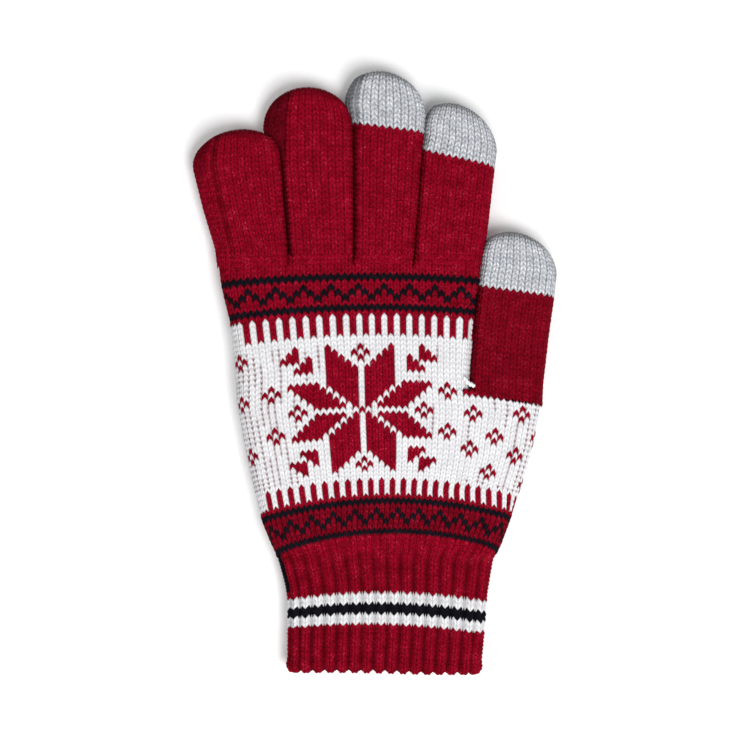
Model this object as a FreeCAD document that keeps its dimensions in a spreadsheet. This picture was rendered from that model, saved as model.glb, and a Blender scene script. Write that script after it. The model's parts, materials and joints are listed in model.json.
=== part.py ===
"""A knitted touchscreen glove, lying flat with the back of the hand up.

The frame: +Y towards the fingertips, +X towards the thumb, +Z up from the surface that the
glove lies on. Every knitted section is a hollow, closed-walled tube of fabric. The sections
hinge on each other where the hand inside bends them: at the wrist, at the root of each
finger and thumb, and at the finger joints. All hinge axes run along X, because the knuckles
fold across the hand.
"""

import FreeCAD
import Part
import Sketcher
import os

doc = FreeCAD.newDocument("knitted_glove")
sheet = doc.addObject("Spreadsheet::Sheet", "Dims")

# ---------------------------------------------------------------- driving dimensions (mm, deg)

COMMON = {
    "fabric": 1.6,  # thickness of the knitted wall, above and below
    "selvedge": 2.8,  # thickness of the folded wall at the sides
    "gap": 0.4,  # clearance round a hinge barrel
    "reach": 12,  # how far a cutting profile stands past the fabric
    "overrun": 4,  # extra tube length that a hinge profile trims away
    "finger_thick": 11,
    "hand_thick": 13,
    "hand_round": 5.2,
    "cuff_thick": 12,
    "cuff_round": 4.8,
    "thread": 0.8,  # elastic and sewing thread
    "thread_pitch": 5.5,
    "knot": 1.3,  # radius of the drawn-up knot in each tip
}

# heights along the hand, and the two side edges of the fabric at each
HAND = {
    "knuckle_y": 43.5,
    "knuckle_left": -55.8,
    "knuckle_right": 37.0,
    "border_y": 32,
    "border_left": -53.6,
    "border_right": 35.2,
    "star_y": 21,
    "star_left": -50.9,
    "star_right": 34.2,
    "crotch_y": -5,
    "crotch_left": -48.0,
    "crotch_right": 32.2,
    "gusset_right": 57.8,
    "heel_y": -28,
    "heel_right": 54.2,
    "band_y": -48.3,
    "band_left": -39.9,
    "band_right": 47.6,
    "wrist_y": -65,
    "wrist_left": -34.2,
    "wrist_right": 42.6,
    "stripe_y": -75.6,
    "stripe_left": -31.9,
    "stripe_right": 39.6,
    "stripe_wide": 4.1,
    "hem_y": -102.7,
    "hem_left": -30.9,
    "hem_right": 37.0,
    "hem_long": 3,
}

# root hinge, lean (positive to the left), width, root to tip, and the two further hinges
FINGERS = {
    "pinky": {"x": -43.6, "y": 41.5, "lean": 11.5, "wide": 24.8, "long": 45.0, "mid": 17.0, "end": 29.5},
    "ring": {"x": -19.1, "y": 43.5, "lean": 5.8, "wide": 21.6, "long": 57.4, "mid": 23.0, "end": 39.5},
    "middle": {"x": 3.0, "y": 43.5, "lean": 0.0, "wide": 20.4, "long": 62.2, "mid": 21.5, "end": 38.0},
    "index": {"x": 25.6, "y": 43.5, "lean": -6.5, "wide": 22.4, "long": 51.2, "mid": 16.5, "end": 29.0},
    "thumb": {"x": 46.05, "y": -5.0, "lean": -6.0, "wide": 24.0, "long": 54.6, "end": 27.0},
}
CAP_LONG = {"middle": 19.0, "index": 17.6, "thumb": 20.0}


def fill_sheet():
    rows = dict(COMMON)
    rows.update(HAND)
    for finger, sizes in FINGERS.items():
        for key, value in sizes.items():
            rows[finger + "_" + key] = value
    for finger, value in CAP_LONG.items():
        rows[finger + "_cap"] = value
    for row, (alias, value) in enumerate(rows.items(), start=1):
        sheet.set("A%d" % row, alias)
        sheet.set("B%d" % row, str(value))
        sheet.setAlias("B%d" % row, alias)
    doc.recompute()


def number(expression):
    """The present value of an expression over the sheet's aliases."""
    return float(sheet.evalExpression(expression))


# ---------------------------------------------------------------- bodies, planes and sketches


def new_body(label):
    body = doc.addObject("PartDesign::Body", label)
    body.Label = label
    return body


def new_sketch(body, role, offset=None, turn=None):
    """A sketch on one of the body's own planes. offset gives expressions for the shift within
    the plane's axes, and turn an axis and an expression for the angle."""
    sketch = body.newObject("Sketcher::SketchObject", "Sketch")
    origin_plane = next(f for f in body.Origin.OriginFeatures if f.Role == role)
    sketch.AttachmentSupport = [(origin_plane, "")]
    sketch.MapMode = "FlatFace"
    if turn:
        sketch.AttachmentOffset = FreeCAD.Placement(
            FreeCAD.Vector(), FreeCAD.Rotation(turn[0], 1.0)
        )
        sketch.setExpression("AttachmentOffset.Rotation.Angle", turn[1])
    for axis, expression in (offset or {}).items():
        sketch.setExpression("AttachmentOffset.Base." + axis, expression)
    return sketch


def pin(sketch, geometry, position, x, y):
    """Bind one point of the sketch to two expressions."""
    for kind, expression in (("DistanceX", x), ("DistanceY", y)):
        index = sketch.addConstraint(
            Sketcher.Constraint(kind, -1, 1, geometry, position, number(expression))
        )
        sketch.setExpression("Constraints[%d]" % index, expression)


def draw_polygon(sketch, corners):
    """A closed outline through corners, each a pair of expressions."""
    points = [FreeCAD.Vector(number(x), number(y), 0) for x, y in corners]
    count = len(points)
    for i in range(count):
        sketch.addGeometry(Part.LineSegment(points[i], points[(i + 1) % count]), False)
    for i in range(count):
        sketch.addConstraint(Sketcher.Constraint("Coincident", i, 2, (i + 1) % count, 1))
    for i, (x, y) in enumerate(corners):
        pin(sketch, i, 1, x, y)


def draw_slot(sketch, wide, thick, low):
    """A flattened tube's section: a slot wide by thick, its lowest point at height low."""
    radius = number(thick) / 2
    flat = number(wide) / 2 - radius
    middle = number(low) + radius
    top, bottom = middle + radius, middle - radius
    up = FreeCAD.Vector(0, 0, 1)
    quarter = 1.5707963267948966
    right = Part.Circle(FreeCAD.Vector(flat, middle, 0), up, radius)
    left = Part.Circle(FreeCAD.Vector(-flat, middle, 0), up, radius)
    sketch.addGeometry(Part.ArcOfCircle(right, -quarter, quarter), False)
    sketch.addGeometry(
        Part.LineSegment(FreeCAD.Vector(flat, top, 0), FreeCAD.Vector(-flat, top, 0)), False
    )
    sketch.addGeometry(Part.ArcOfCircle(left, quarter, 3 * quarter), False)
    sketch.addGeometry(
        Part.LineSegment(FreeCAD.Vector(-flat, bottom, 0), FreeCAD.Vector(flat, bottom, 0)), False
    )
    for first, second in ((0, 1), (1, 2), (2, 3), (3, 0)):
        sketch.addConstraint(Sketcher.Constraint("Tangent", first, 2, second, 1))
    half = "(%s) / 2" % thick
    reach = "(%s) / 2 - %s" % (wide, half)
    height = "(%s) + %s" % (low, half)
    pin(sketch, 0, 3, reach, height)
    pin(sketch, 2, 3, "-(%s)" % reach, height)
    index = sketch.addConstraint(Sketcher.Constraint("Radius", 0, radius))
    sketch.setExpression("Constraints[%d]" % index, half)


def draw_half_slot(sketch, wide, thick, low):
    """The right half of the same section, closed along the vertical axis."""
    radius = number(thick) / 2
    flat = number(wide) / 2 - radius
    middle = number(low) + radius
    top, bottom = middle + radius, middle - radius
    quarter = 1.5707963267948966
    corner = [
        FreeCAD.Vector(0, bottom, 0),
        FreeCAD.Vector(flat, bottom, 0),
        FreeCAD.Vector(flat, top, 0),
        FreeCAD.Vector(0, top, 0),
    ]
    circle = Part.Circle(FreeCAD.Vector(flat, middle, 0), FreeCAD.Vector(0, 0, 1), radius)
    sketch.addGeometry(Part.LineSegment(corner[0], corner[1]), False)
    sketch.addGeometry(Part.ArcOfCircle(circle, -quarter, quarter), False)
    sketch.addGeometry(Part.LineSegment(corner[2], corner[3]), False)
    sketch.addGeometry(Part.LineSegment(corner[3], corner[0]), False)
    sketch.addConstraint(Sketcher.Constraint("Tangent", 0, 2, 1, 1))
    sketch.addConstraint(Sketcher.Constraint("Tangent", 1, 2, 2, 1))
    sketch.addConstraint(Sketcher.Constraint("Coincident", 2, 2, 3, 1))
    sketch.addConstraint(Sketcher.Constraint("Coincident", 3, 2, 0, 1))
    half = "(%s) / 2" % thick
    pin(sketch, 1, 3, "(%s) / 2 - %s" % (wide, half), "(%s) + %s" % (low, half))
    pin(sketch, 0, 1, "0", low)
    sketch.addConstraint(Sketcher.Constraint("Vertical", 3))
    index = sketch.addConstraint(Sketcher.Constraint("Radius", 1, radius))
    sketch.setExpression("Constraints[%d]" % index, half)


def draw_profile(sketch, radius, before, after):
    """A closed hinge profile about the sketch's origin: straight lines through before, then a
    quarter or half circle of radius round the axis, then straight lines through after."""
    start, finish = before[-1], after[0]
    first = FreeCAD.Vector(number(start[0]), number(start[1]), 0)
    last = FreeCAD.Vector(number(finish[0]), number(finish[1]), 0)
    size = number(radius)
    side = FreeCAD.Vector(-size, 0, 0)
    if first.distanceToPoint(side) < 1e-6:
        side = FreeCAD.Vector(-size, size, 0).normalize() * size
    corners = before + after
    points = [FreeCAD.Vector(number(x), number(y), 0) for x, y in corners]
    turn = len(before) - 1
    count = len(points)
    for i in range(count):
        if i == turn:
            sketch.addGeometry(Part.Arc(first, side, last), False)
        else:
            sketch.addGeometry(Part.LineSegment(points[i], points[(i + 1) % count]), False)
    # an arc always runs anticlockwise, so this one starts at its last point
    ends = {i: (1, 2) for i in range(count)}
    ends[turn] = (2, 1)
    for i in range(count):
        following = (i + 1) % count
        sketch.addConstraint(
            Sketcher.Constraint("Coincident", i, ends[i][1], following, ends[following][0])
        )
    sketch.addConstraint(Sketcher.Constraint("Coincident", turn, 3, -1, 1))
    index = sketch.addConstraint(Sketcher.Constraint("Radius", turn, size))
    sketch.setExpression("Constraints[%d]" % index, radius)
    for i, (x, y) in enumerate(corners):
        if i not in (turn, turn + 1):
            pin(sketch, i, ends[i][0], x, y)
    sketch.addConstraint(Sketcher.Constraint("PointOnObject", turn, 1, -2))
    resting = -2 if abs(first.x) < 1e-6 else -1
    sketch.addConstraint(Sketcher.Constraint("PointOnObject", turn, 2, resting))


# ---------------------------------------------------------------- features


def pad(body, sketch, length, backwards=False):
    feature = body.newObject("PartDesign::Pad", "Pad")
    feature.Profile = sketch
    feature.Reversed = backwards
    feature.setExpression("Length", length)
    return feature


def pocket(body, sketch, length=None, backwards=False, about_middle=False):
    """A cut that must remove material. With no length it goes through everything, both ways
    when about_middle is set."""
    doc.recompute()
    before = body.Shape.Volume
    feature = body.newObject("PartDesign::Pocket", "Pocket")
    feature.Profile = sketch
    feature.Reversed = backwards
    if length:
        feature.setExpression("Length", length)
    else:
        feature.Type = "ThroughAll"
    feature.Midplane = about_middle
    doc.recompute()
    if not body.Shape.Volume < before - 0.01:
        raise RuntimeError("a pocket in %s cut nothing" % body.Label)
    return feature


def half_turn(body, sketch, kind):
    """Turn a half section through 180 degrees about its own vertical axis, to round a tip."""
    feature = body.newObject("PartDesign::" + kind, kind)
    feature.Profile = sketch
    feature.ReferenceAxis = (sketch, ["V_Axis"])
    feature.Angle = 180
    return feature


def round_sides(body, radius):
    """Round the long edges of a panel, where its top and bottom meet its side walls."""
    doc.recompute()
    box = body.Shape.BoundBox
    edges = []
    for number_of_edge, edge in enumerate(body.Shape.Edges, start=1):
        ends = [v.Point for v in edge.Vertexes]
        level = abs(ends[0].z - ends[1].z) < 1e-6
        lengthwise = abs(ends[0].y - ends[1].y) > 0.5 * abs(ends[0].x - ends[1].x)
        outer = min(abs(ends[0].z - box.ZMin), abs(ends[0].z - box.ZMax)) < 1e-6
        if level and lengthwise and outer:
            edges.append("Edge%d" % number_of_edge)
    solid = body.Tip
    fillet = body.newObject("PartDesign::Fillet", "Fillet")
    fillet.Base = (solid, edges)
    fillet.setExpression("Radius", radius)
    doc.recompute()
    return fillet


# ---------------------------------------------------------------- hinge profiles

HALF = "Dims.finger_thick / 2"
CLEAR = "(Dims.finger_thick / 2 + Dims.gap)"
REACH = "Dims.reach"


def hinge_sketch(body, along, half, turn):
    """A sketch seen along the hinge axis, whose origin is that axis."""
    turning = (FreeCAD.Vector(0, 1, 0), turn)
    return new_sketch(body, "YZ_Plane", {"x": along, "y": half}, turning)


def cut_barrel(body, along, half, turn):
    """Round the near end of a tube about the hinge axis, so that it can turn in a socket."""
    sketch = hinge_sketch(body, along, half, turn)
    minus = "-%s" % REACH
    before = [("0", REACH), (minus, REACH), (minus, minus), ("0", minus), ("0", "-(%s)" % half)]
    draw_profile(sketch, half, before, [("0", half)])
    pocket(body, sketch, about_middle=True)


SOCKET_BEFORE = [("-%s" % CLEAR, "-%s" % REACH), ("-%s" % CLEAR, "0")]
SOCKET_AFTER = [("0", CLEAR), ("0", REACH), (REACH, REACH), (REACH, "-%s" % REACH)]


def cut_socket(body, along, turn):
    """Hollow the far end of a tube for the next section's barrel. The palm half is cut back
    square, so that the next section can fold down through a right angle."""
    sketch = hinge_sketch(body, along, HALF, turn)
    draw_profile(sketch, CLEAR, SOCKET_BEFORE, SOCKET_AFTER)
    pocket(body, sketch, about_middle=True)


def cut_hand_socket(body, y, x_from, x_to):
    """The same socket in a panel of the hand, over part of its width."""
    sketch = new_sketch(body, "YZ_Plane", {"x": y, "y": HALF, "z": x_from})
    draw_profile(sketch, CLEAR, SOCKET_BEFORE, SOCKET_AFTER)
    pocket(body, sketch, "(%s) - (%s)" % (x_to, x_from), backwards=True)


# ---------------------------------------------------------------- the hand's panels


def make_panel(label, outline, hollow, thick, rounding):
    """A flat hollow section: its outline in plan, with rounded sides, and the space inside."""
    body = new_body(label)
    plan = new_sketch(body, "XY_Plane")
    draw_polygon(plan, outline)
    pad(body, plan, thick)
    round_sides(body, rounding)
    inner = new_sketch(body, "XY_Plane", {"z": "%s - Dims.fabric" % thick})
    draw_polygon(inner, hollow)
    pocket(body, inner, "%s - 2 * Dims.fabric" % thick)
    return body


def between(low, high, part, key):
    """An edge position part of the way from one named height to another."""
    return "(Dims.%s_%s + (Dims.%s_%s - Dims.%s_%s) * (%s))" % (low, key, high, key, low, key, part)


def strip(label, lower, upper, thick, rounding):
    """A panel between two heights, each given as expressions for y, left and right."""
    (y0, left0, right0), (y1, left1, right1) = lower, upper
    outline = [(left0, y0), (right0, y0), (right1, y1), (left1, y1)]
    side = "Dims.selvedge"
    hollow = [
        ("%s + %s" % (left0, side), "%s - 1" % y0),
        ("%s - %s" % (right0, side), "%s - 1" % y0),
        ("%s - %s" % (right1, side), "%s + 1" % y1),
        ("%s + %s" % (left1, side), "%s + 1" % y1),
    ]
    return make_panel(label, outline, hollow, thick, rounding)


def level(name):
    return tuple("Dims.%s_%s" % (name, key) for key in ("y", "left", "right"))


def make_hand():
    hand = ("Dims.hand_thick", "Dims.hand_round")
    side = "Dims.selvedge"

    knuckle = strip("knuckle_panel", level("border"), level("knuckle"), *hand)
    parting = "(Dims.pinky_x + Dims.pinky_wide / 2 + Dims.ring_x - Dims.ring_wide / 2) / 2"
    cut_hand_socket(knuckle, "Dims.pinky_y", "Dims.knuckle_left - 1", parting)
    cut_hand_socket(knuckle, "Dims.ring_y", parting, "Dims.knuckle_right + 1")

    strip("upper_border_band", level("star"), level("border"), *hand)

    shoulder = "Dims.crotch_y + 2"
    opening = "Dims.crotch_right + 2 * %s" % side
    outline = [
        ("Dims.star_left", "Dims.star_y"),
        ("Dims.crotch_left", "Dims.crotch_y"),
        ("Dims.band_left", "Dims.band_y"),
        ("Dims.band_right", "Dims.band_y"),
        ("Dims.heel_right", "Dims.heel_y"),
        ("Dims.gusset_right", shoulder),
        ("Dims.crotch_right", shoulder),
        ("Dims.star_right", "Dims.star_y"),
    ]
    hollow = [
        ("Dims.star_left + %s" % side, "Dims.star_y + 1"),
        ("Dims.crotch_left + %s" % side, "Dims.crotch_y"),
        ("Dims.band_left + %s" % side, "Dims.band_y - 1"),
        ("Dims.band_right - %s" % side, "Dims.band_y - 1"),
        ("Dims.heel_right - %s" % side, "Dims.heel_y"),
        ("Dims.gusset_right - %s" % side, "Dims.crotch_y + 3"),
        (opening, "Dims.crotch_y + 3"),
        (opening, "Dims.crotch_y - 2 * %s" % side),
        ("Dims.crotch_right - %s" % side, "Dims.crotch_y - 2 * %s" % side),
        ("Dims.star_right - %s" % side, "Dims.star_y + 1"),
    ]
    star = make_panel("star_panel", outline, hollow, *hand)
    cut_hand_socket(star, "Dims.thumb_y", "Dims.crotch_right - 0.2", "Dims.gusset_right + 1")

    trimmed = "(Dims.wrist_y + Dims.cuff_thick / 2 + Dims.gap)"
    part = "(%s - Dims.wrist_y) / (Dims.band_y - Dims.wrist_y)" % trimmed
    end = (trimmed, between("wrist", "band", part, "left"), between("wrist", "band", part, "right"))
    strip("lower_border_band", end, level("band"), *hand)


def make_cuff():
    cuff = ("Dims.cuff_thick", "Dims.cuff_round")
    wrist, stripe, hem = level("wrist"), level("stripe"), level("hem")

    front = ("Dims.wrist_y + Dims.cuff_thick / 2", wrist[1], wrist[2])
    upper = strip("cuff_upper_rib", stripe, front, *cuff)
    cut_barrel(upper, "Dims.wrist_y", "Dims.cuff_thick / 2", "180")

    def down(stripes):
        """The level so many stripes below the top one, on the taper down to the hem."""
        drop = "%s * Dims.stripe_wide" % stripes
        part = "%s / (Dims.stripe_y - Dims.hem_y)" % drop
        left = between("stripe", "hem", part, "left")
        right = between("stripe", "hem", part, "right")
        return ("(Dims.stripe_y - %s)" % drop, left, right)

    strip("cuff_white_stripe_upper", down(1), down(0), *cuff)
    strip("cuff_black_stripe", down(2), down(1), *cuff)
    strip("cuff_white_stripe_lower", down(3), down(2), *cuff)
    strip("cuff_lower_rib", hem, down(3), *cuff)
    edge = ("(Dims.hem_y - Dims.hem_long)", hem[1], hem[2])
    strip("cuff_hem", edge, hem, *cuff)


def make_elastic():
    """Elastic threads laid round the inside of the ribbing, as flattened rings."""
    body = new_body("cuff_elastic_threads")
    body.setExpression("Placement.Base.x", "(Dims.hem_left + Dims.hem_right) / 2")
    body.setExpression("Placement.Base.y", "Dims.hem_y + Dims.thread_pitch / 2")
    wide = "Dims.hem_right - Dims.hem_left - 2 * Dims.selvedge - 0.6"
    thick = "Dims.cuff_thick - 2 * Dims.fabric - 0.1"
    low = "Dims.fabric + 0.05"
    ring = new_sketch(body, "XZ_Plane")
    draw_slot(ring, wide, thick, low)
    pad(body, ring, "Dims.thread", backwards=True)
    bore = new_sketch(body, "XZ_Plane")
    around = "2 * Dims.thread"
    draw_slot(bore, "%s - %s" % (wide, around), "%s - %s" % (thick, around), "%s + Dims.thread" % low)
    ring_cut = pocket(body, bore, "2 * Dims.thread")
    rows = body.newObject("PartDesign::LinearPattern", "Rows")
    rows.Originals = [body.Group[1], ring_cut]
    rows.Direction = (next(f for f in body.Origin.OriginFeatures if f.Role == "Y_Axis"), [""])
    rows.Occurrences = 5
    rows.setExpression("Length", "4 * Dims.thread_pitch")
    body.Tip = rows


# ---------------------------------------------------------------- fingers


def finger_body(label, finger):
    """A body whose own Y axis runs up the finger from the hinge at its root."""
    body = new_body(label)
    turned = FreeCAD.Rotation(FreeCAD.Vector(0, 0, 1), 1)
    body.Placement = FreeCAD.Placement(FreeCAD.Vector(), turned)
    body.setExpression("Placement.Base.x", "Dims.%s_x" % finger)
    body.setExpression("Placement.Base.y", "Dims.%s_y" % finger)
    body.setExpression("Placement.Rotation.Angle", "Dims.%s_lean" % finger)
    return body


def finger_tube(label, finger, start, stop, closed):
    """A hollow length of finger from start to stop, with its tip rounded if closed."""
    body = finger_body(label, finger)
    wide, thick = "Dims.%s_wide" % finger, "Dims.finger_thick"
    inner_wide = "%s - 2 * Dims.selvedge" % wide
    inner_thick = "(%s - 2 * Dims.fabric)" % thick
    straight_end = "(Dims.%s_long - %s / 2)" % (finger, wide) if closed else stop
    length = "(%s) - (%s)" % (straight_end, start)

    outside = new_sketch(body, "XZ_Plane", {"z": "-(%s)" % start})
    draw_slot(outside, wide, thick, "0")
    pad(body, outside, length, backwards=True)
    if closed:
        dome = new_sketch(body, "XZ_Plane", {"z": "-(%s)" % straight_end})
        draw_half_slot(dome, wide, thick, "0")
        half_turn(body, dome, "Revolution")

    inside = new_sketch(body, "XZ_Plane", {"z": "-(%s)" % start})
    draw_slot(inside, inner_wide, inner_thick, "Dims.fabric")
    pocket(body, inside, length)
    if closed:
        bowl = new_sketch(body, "XZ_Plane", {"z": "-(%s)" % straight_end})
        draw_half_slot(bowl, inner_wide, inner_thick, "Dims.fabric")
        half_turn(body, bowl, "Groove")
    return body


def make_knot(finger):
    """The drawn-up end of the yarn, knotted inside the tip."""
    knot = doc.addObject("Part::Sphere", finger + "_tip_knot")
    knot.Label = finger + "_tip_knot"
    knot.setExpression("Radius", "Dims.knot")
    along = "(Dims.%s_long - Dims.selvedge - Dims.knot - 0.2)" % finger
    lean = "Dims.%s_lean * 1deg" % finger
    knot.setExpression("Placement.Base.x", "Dims.%s_x - %s * sin(%s)" % (finger, along, lean))
    knot.setExpression("Placement.Base.y", "Dims.%s_y + %s * cos(%s)" % (finger, along, lean))
    knot.setExpression("Placement.Base.z", HALF)


def make_finger(finger, hinges):
    """Sections from the root to the tip, one for each hinge, and a conductive cap if any."""
    turn = "-Dims.%s_lean" % finger
    names = {2: ["base", "tip"], 3: ["base", "mid", "tip"]}[len(hinges)]
    for i, name in enumerate(names):
        here = hinges[i]
        start = "(%s) - Dims.finger_thick / 2 - Dims.overrun" % here
        last = i == len(names) - 1
        if not last:
            stop = "(%s) + Dims.overrun" % hinges[i + 1]
        elif finger in CAP_LONG:
            stop = "Dims.%s_long - Dims.%s_cap" % (finger, finger)
        else:
            stop = None
        body = finger_tube("%s_%s" % (finger, name), finger, start, stop, stop is None)
        cut_barrel(body, here, HALF, turn)
        if not last:
            cut_socket(body, hinges[i + 1], turn)
    if finger in CAP_LONG:
        border = "Dims.%s_long - Dims.%s_cap" % (finger, finger)
        finger_tube(finger + "_touch_cap", finger, border, None, True)
    make_knot(finger)


def make_crotch_stitches():
    """Short bars of thread inside the hand that tie off each parting between two fingers."""
    places = []
    for left, right in (("pinky", "ring"), ("ring", "middle"), ("middle", "index")):
        x = "(Dims.%s_x + Dims.%s_wide / 2 + Dims.%s_x - Dims.%s_wide / 2) / 2" % (
            left, left, right, right)
        places.append((x, "Dims.border_y + 3"))
    places.append(("Dims.crotch_right - 2 * Dims.selvedge", "Dims.crotch_y + 4"))
    bars = []
    for x, y in places:
        bar = doc.addObject("Part::Cylinder", "stitch_bar")
        bar.Placement.Rotation = FreeCAD.Rotation(FreeCAD.Vector(0, 1, 0), 90)
        bar.setExpression("Radius", "Dims.thread / 2")
        bar.setExpression("Height", "5 * Dims.thread")
        bar.setExpression("Placement.Base.x", "%s - 2.5 * Dims.thread" % x)
        bar.setExpression("Placement.Base.y", y)
        bar.setExpression("Placement.Base.z", "Dims.hand_thick - Dims.fabric - Dims.thread / 2 - 0.05")
        bars.append(bar)
    group = doc.addObject("Part::Compound", "crotch_stitches")
    group.Label = "crotch_stitches"
    group.Links = bars


# ---------------------------------------------------------------- the whole glove


def check_and_write():
    """Every object has to have recomputed, and every section has to be sound."""
    doc.recompute()
    for item in doc.Objects:
        if "Invalid" in item.State or "Error" in item.State:
            raise RuntimeError("%s did not recompute: %s" % (item.Label, item.State))
    sections = [o for o in doc.Objects if o.isDerivedFrom("PartDesign::Body")]
    sections += [o for o in doc.Objects if o.TypeId in ("Part::Compound", "Part::Sphere")]
    for item in sections:
        if item.Shape.isNull() or not item.Shape.isValid():
            raise RuntimeError("%s has no sound shape" % item.Label)
    os.makedirs("parts", exist_ok=True)
    for item in sections:
        item.Shape.exportStep("parts/%s.step" % item.Label)
        print("%-26s %9.1f mm3" % (item.Label, item.Shape.Volume))


def main():
    fill_sheet()
    make_hand()
    make_cuff()
    make_elastic()
    for finger in ("pinky", "ring", "middle", "index"):
        make_finger(finger, ["0", "Dims.%s_mid" % finger, "Dims.%s_end" % finger])
    make_finger("thumb", ["0", "Dims.thumb_end"])
    make_crotch_stitches()
    check_and_write()


main()
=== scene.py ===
import bpy
import json
import math
import numpy as np
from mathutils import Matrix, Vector


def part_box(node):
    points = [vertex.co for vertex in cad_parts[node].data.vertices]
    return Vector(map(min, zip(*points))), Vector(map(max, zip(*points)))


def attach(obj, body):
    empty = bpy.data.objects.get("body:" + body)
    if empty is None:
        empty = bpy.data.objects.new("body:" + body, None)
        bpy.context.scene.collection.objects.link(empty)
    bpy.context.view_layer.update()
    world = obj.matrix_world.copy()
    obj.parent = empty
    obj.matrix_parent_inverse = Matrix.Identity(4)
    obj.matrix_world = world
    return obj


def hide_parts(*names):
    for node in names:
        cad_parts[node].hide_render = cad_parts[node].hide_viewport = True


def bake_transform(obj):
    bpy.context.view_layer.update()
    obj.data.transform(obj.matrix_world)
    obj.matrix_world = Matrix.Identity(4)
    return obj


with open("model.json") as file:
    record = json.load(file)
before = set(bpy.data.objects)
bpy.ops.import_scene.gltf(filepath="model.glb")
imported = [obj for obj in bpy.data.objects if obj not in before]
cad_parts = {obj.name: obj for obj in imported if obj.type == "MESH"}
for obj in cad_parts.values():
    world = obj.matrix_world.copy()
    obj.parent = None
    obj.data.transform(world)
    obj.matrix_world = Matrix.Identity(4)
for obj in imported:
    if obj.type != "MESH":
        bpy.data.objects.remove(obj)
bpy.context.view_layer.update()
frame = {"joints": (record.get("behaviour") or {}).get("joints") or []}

# Lengths in this script are millimetres until a mesh is made. The frame is the CAD's: +Y to the
# fingertips, +X to the thumb, +Z up out of the back of the hand.
MM = 0.001

# ------------------------------------------------------------------ places read from the frame


def low(node, axis):
    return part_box(node)[0][axis] / MM


def high(node, axis):
    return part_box(node)[1][axis] / MM


JOINTS = {j["name"]: j for j in frame["joints"]}


def hinge_y(joint):
    return JOINTS[joint]["pos_m"][1] / MM


KNUCKLE_Y = high("knuckle_panel", 1)
BORDER_Y = high("upper_border_band", 1)
STAR_Y = high("star_panel", 1)
BAND_Y = high("lower_border_band", 1)
WRIST_Y = hinge_y("wrist")
HEM_Y = low("cuff_hem", 1)
HAND_HALF = high("star_panel", 2) / 2
FINGER_HALF = high("middle_base", 2) / 2
CUFF_HALF = high("cuff_hem", 2) / 2

# ------------------------------------------------------------------ the knit's gauge

ROW = 1.80  # height of a stitch
SPLAY = 0.72  # how far down a stitch's two legs reach, in rows
RELIEF = 0.55  # how far a yarn stands proud of the valleys beside it
ACROSS = 6  # mesh steps over the width of a stitch
UP = 4  # mesh steps over the height of a stitch

RED, WHITE, BLACK, GREY = range(4)


def smooth(low_edge, high_edge, value):
    part = np.clip((value - low_edge) / (high_edge - low_edge), 0, 1)
    return part * part * (3 - 2 * part)


def curve(points, value):
    """A line through points, each (place, size), read at value."""
    place, size = zip(*sorted(points))
    return np.interp(value, place, size)


# ------------------------------------------------------------------ the knitting chart

STAR_ROWS = 14  # from the star's middle to the bars
BAR_ROWS = 4
LAST_BAR = -18  # no red bars left of this column
DIAMONDS = [
    (0, 11), (0, -11), (10, 0), (-10, 0), (14, 4), (14, -4), (-14, 4), (-14, -4), (18, 0), (18, -7),
    (22, -4), (22, -11), (26, 1), (26, -7), (-19, 3), (-19, -7), (30, -3), (30, -12), (-19, 11),
]


def star(c, r):
    across, up = abs(c), abs(r)
    tall = (across >= 1) & (across <= 5) & (up >= across) & (up <= across + 7)
    wide = (up >= 1) & (up <= 5) & (across >= up + 2) & (across <= up + 6)
    return tall | wide | ((across == 0) & (up == 0))


def corner_leaves(c, r):
    """The stepped leaf in each corner of the star, drawn twice on the diagonal."""
    across, up = abs(c), abs(r)
    found = np.zeros(c.shape, bool)
    for start in (8, 10):
        a, b = across - start, up - start
        found |= (a >= 0) & (b >= 0) & (a + b <= 2)
    return found


def diamonds(c, r):
    """Rings of four stitches, above, below and beside the star and over the side fields."""
    found = np.zeros(c.shape, bool)
    for column, row in DIAMONDS:
        found |= abs(c - column) + abs(r - row) == 1
    return found


def band(c, step):
    """One zigzag band, counted in rows outwards from the bars beside it."""
    zigzag = step - 3 == np.where(c % 4 == 0, 2, np.where(c % 4 == 2, 0, 1))
    return np.where((step == 1) | (step == 7) | zigzag, BLACK, RED)


def chart(c, r):
    """The yarn of each stitch of the hand, from column c and row r counted from the star."""
    c, r = np.broadcast_arrays(c, r)
    yarn = np.where(star(c, r) | corner_leaves(c, r) | diamonds(c, r), RED, WHITE)
    yarn = np.where(abs(r) == STAR_ROWS, WHITE, yarn)
    top = r - STAR_ROWS
    bars = np.where((c % 2 == 0) | (c < LAST_BAR), WHITE, RED)
    yarn = np.where((top >= 1) & (top <= BAR_ROWS), bars, yarn)
    yarn = np.where(top > BAR_ROWS, band(c, top - BAR_ROWS - 1), yarn)
    yarn = np.where(top > BAR_ROWS + 8, RED, yarn)
    below = -r - STAR_ROWS
    yarn = np.where((below >= 1) & (below <= BAR_ROWS - 1), bars, yarn)
    return np.where(below > BAR_ROWS - 1, band(c, below - BAR_ROWS), yarn)


# ------------------------------------------------------------------ surfaces of stitches


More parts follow.
